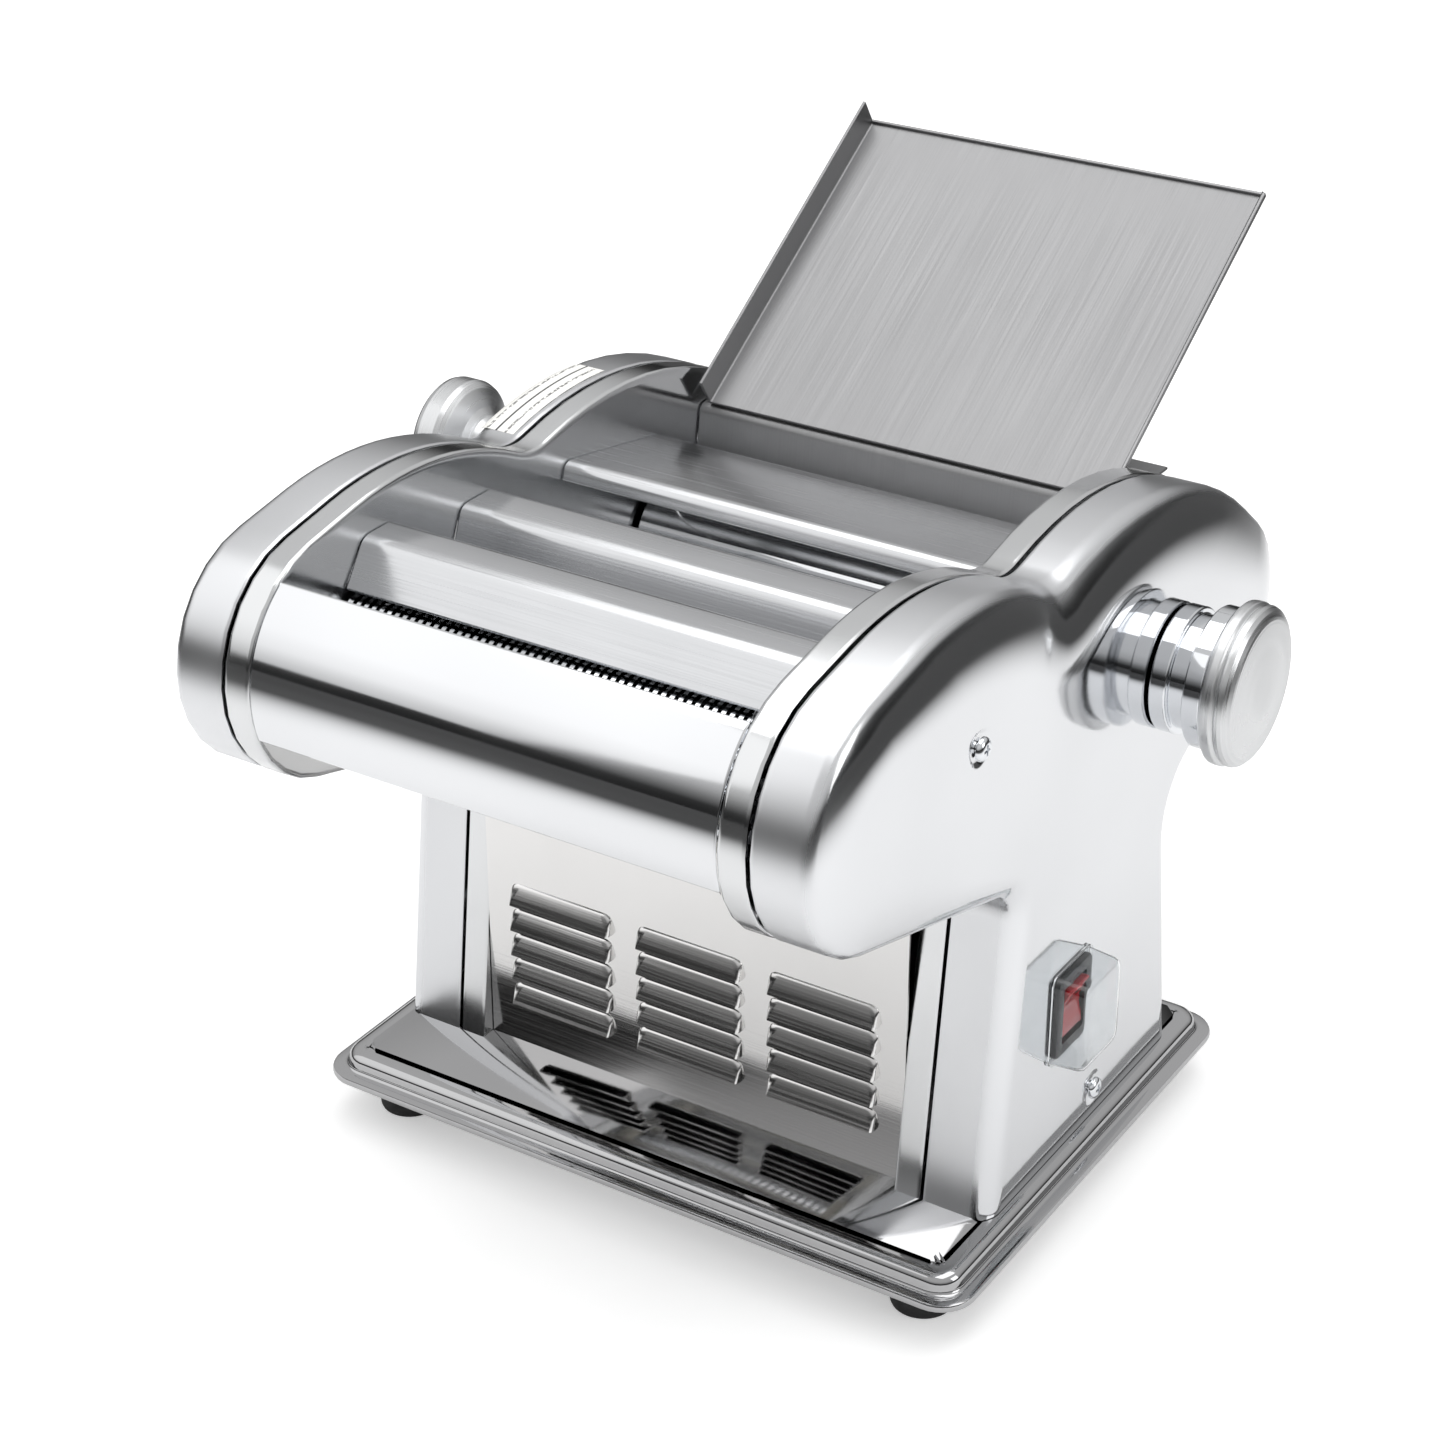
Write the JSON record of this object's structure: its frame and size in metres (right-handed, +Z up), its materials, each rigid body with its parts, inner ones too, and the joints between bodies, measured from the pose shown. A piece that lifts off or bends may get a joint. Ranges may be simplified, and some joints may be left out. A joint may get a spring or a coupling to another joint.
{
  "type": "electric pasta roller machine",
  "caption": "Motor-driven pasta machine: press rollers under a sloping feed tray, cutter rollers in the front head, thickness dial, selector knob and rocker switch.",
  "frame": {"origin": "centre of the bounding box's bottom face, on the plane of the feet", "axes": "+X to the machine's right, where the dial and the switch are; +Y to the back, where the feed tray rises; +Z up"},
  "size_m": [0.316, 0.3832, 0.3183],
  "materials": {
    "mirror_steel": "mirror-polished stainless sheet",
    "satin_steel": "satin stainless sheet",
    "tray_steel": "matt stainless sheet",
    "chrome": "bright chrome plate",
    "gear_steel": "plain machined steel",
    "cast_alloy": "as-cast alloy",
    "motor_paint": "black motor enamel",
    "foot_rubber": "matt black rubber",
    "black_plastic": "glossy black nylon",
    "comb_plastic": "natural acetal",
    "rocker_red": "glossy translucent red",
    "clear_plastic": "clear flexible plastic",
    "label_paper": "white printed sticker"
  },
  "bodies": {
    "housing": {"base_pan": "mirror_steel", "foot_front_left": "foot_rubber", "foot_front_right": "foot_rubber", "foot_rear_left": "foot_rubber", "foot_rear_right": "foot_rubber", "side_frame_left": "chrome", "side_frame_right": "chrome", "end_cover_left": "mirror_steel", "end_cover_right": "mirror_steel", "screw_left_upper": "chrome", "screw_left_lower": "chrome", "screw_right_upper": "chrome", "screw_right_lower": "chrome", "front_panel": "satin_steel", "rear_panel": "satin_steel", "housing_top": "satin_steel", "front_cover": "mirror_steel", "rear_cover": "satin_steel", "guide_front": "satin_steel", "guide_middle": "satin_steel", "guide_rear": "satin_steel", "chute_plate": "tray_steel", "comb_fine": "comb_plastic", "comb_wide": "comb_plastic", "tie_rod_front": "gear_steel", "tie_rod_rear": "gear_steel", "motor_body": "motor_paint", "motor_end_cap": "cast_alloy", "motor_bracket": "cast_alloy", "switch_housing": "black_plastic", "switch_hood": "clear_plastic", "cord_gland": "foot_rubber", "label_plate": "label_paper"},
    "press_rear": {"press_roller_rear": "mirror_steel", "gear_press_rear": "gear_steel"},
    "press_blocks": {"gap_block_left": "cast_alloy", "gap_block_right": "cast_alloy"},
    "press_front": {"press_roller_front": "mirror_steel", "gear_press_front": "gear_steel"},
    "wide_rear": {"cutter_wide_rear": "chrome", "gear_wide_rear": "gear_steel"},
    "wide_front": {"cutter_wide_front": "chrome", "gear_wide_front": "gear_steel", "gear_wide_link": "gear_steel"},
    "fine_rear": {"cutter_fine_rear": "chrome", "gear_fine_rear": "gear_steel", "gear_fine_link": "gear_steel"},
    "fine_front": {"cutter_fine_front": "chrome", "gear_fine_front": "gear_steel"},
    "drive": {"drive_gear": "gear_steel"},
    "idler": {"idler_gear": "gear_steel"},
    "reduction": {"reduction_gear": "gear_steel"},
    "motor_rotor": {"motor_shaft": "gear_steel"},
    "dial_crank": {"dial_shaft": "gear_steel"},
    "dial": {"dial_drum": "chrome", "dial_cap": "satin_steel"},
    "selector": {"selector_knob": "satin_steel", "selector_shaft": "gear_steel"},
    "rocker": {"switch_rocker": "rocker_red"},
    "tray": {"feed_tray": "tray_steel"}
  },
  "joints": [
    {"name": "press_rear_spin", "type": "hinge", "parent": "housing", "child": "press_rear", "pos_m": [0, 0.08762, 0.1876], "axis": [1, 0, 0], "continuous": true},
    {"name": "press_gap", "type": "slide", "parent": "housing", "child": "press_blocks", "axis": [0, 1, 0], "range_m": [0, 0.0024]},
    {"name": "press_front_spin", "type": "hinge", "parent": "press_blocks", "child": "press_front", "pos_m": [0, 0.04492, 0.1876], "axis": [1, 0, 0], "continuous": true},
    {"name": "wide_rear_spin", "type": "hinge", "parent": "housing", "child": "wide_rear", "pos_m": [0, -0.08418, 0.202], "axis": [1, 0, 0], "continuous": true},
    {"name": "wide_front_spin", "type": "hinge", "parent": "housing", "child": "wide_front", "pos_m": [0, -0.11318, 0.202], "axis": [1, 0, 0], "continuous": true},
    {"name": "fine_rear_spin", "type": "hinge", "parent": "housing", "child": "fine_rear", "pos_m": [0, -0.13718, 0.222], "axis": [1, 0, 0], "continuous": true},
    {"name": "fine_front_spin", "type": "hinge", "parent": "housing", "child": "fine_front", "pos_m": [0, -0.16618, 0.222], "axis": [1, 0, 0], "continuous": true},
    {"name": "drive_spin", "type": "hinge", "parent": "housing", "child": "drive", "pos_m": [0, -0.00268, 0.16126], "axis": [1, 0, 0], "continuous": true},
    {"name": "idler_spin", "type": "hinge", "parent": "housing", "child": "idler", "pos_m": [0, -0.0487, 0.19387], "axis": [1, 0, 0], "continuous": true},
    {"name": "reduction_spin", "type": "hinge", "parent": "housing", "child": "reduction", "pos_m": [0, -0.01768, 0.11947], "axis": [1, 0, 0], "continuous": true},
    {"name": "motor_spin", "type": "hinge", "parent": "housing", "child": "motor_rotor", "pos_m": [0, -0.01768, 0.08607], "axis": [1, 0, 0], "continuous": true},
    {"name": "dial_turn", "type": "hinge", "parent": "housing", "child": "dial_crank", "pos_m": [0.12, 0.04612, 0.1876], "axis": [1, 0, 0], "range_deg": [0, 180]},
    {"name": "dial_pull", "type": "slide", "parent": "dial_crank", "child": "dial", "axis": [1, 0, 0], "range_m": [0, 0.004], "stiffness_N_per_m": 400},
    {"name": "selector_turn", "type": "hinge", "parent": "housing", "child": "selector", "pos_m": [-0.125, 0.00532, 0.224], "axis": [1, 0, 0], "range_deg": [0, 90]},
    {"name": "rocker_tip", "type": "hinge", "parent": "housing", "child": "rocker", "pos_m": [0.1228, -0.02268, 0.0858], "axis": [0, 1, 0], "range_deg": [-16, 0]},
    {"name": "tray_lift_off", "type": "slide", "parent": "housing", "child": "tray", "axis": [0, 0.8368, 0.5476], "range_m": [0, 0.12]}
  ],
  "couplings": [
    {"joint": "press_front_spin", "follows": "press_rear_spin", "ratio": -1},
    {"joint": "drive_spin", "follows": "press_rear_spin", "ratio": 0.58824},
    {"joint": "idler_spin", "follows": "press_rear_spin", "ratio": -0.90909},
    {"joint": "wide_rear_spin", "follows": "press_rear_spin", "ratio": 1.4286},
    {"joint": "wide_front_spin", "follows": "press_rear_spin", "ratio": -1.4286},
    {"joint": "fine_rear_spin", "follows": "press_rear_spin", "ratio": 1.4286},
    {"joint": "fine_front_spin", "follows": "press_rear_spin", "ratio": -1.4286},
    {"joint": "reduction_spin", "follows": "press_rear_spin", "ratio": -2},
    {"joint": "motor_spin", "follows": "press_rear_spin", "ratio": 9},
    {"joint": "press_gap", "follows": "dial_turn", "m_per_rad": 0.00076394}
  ]
}
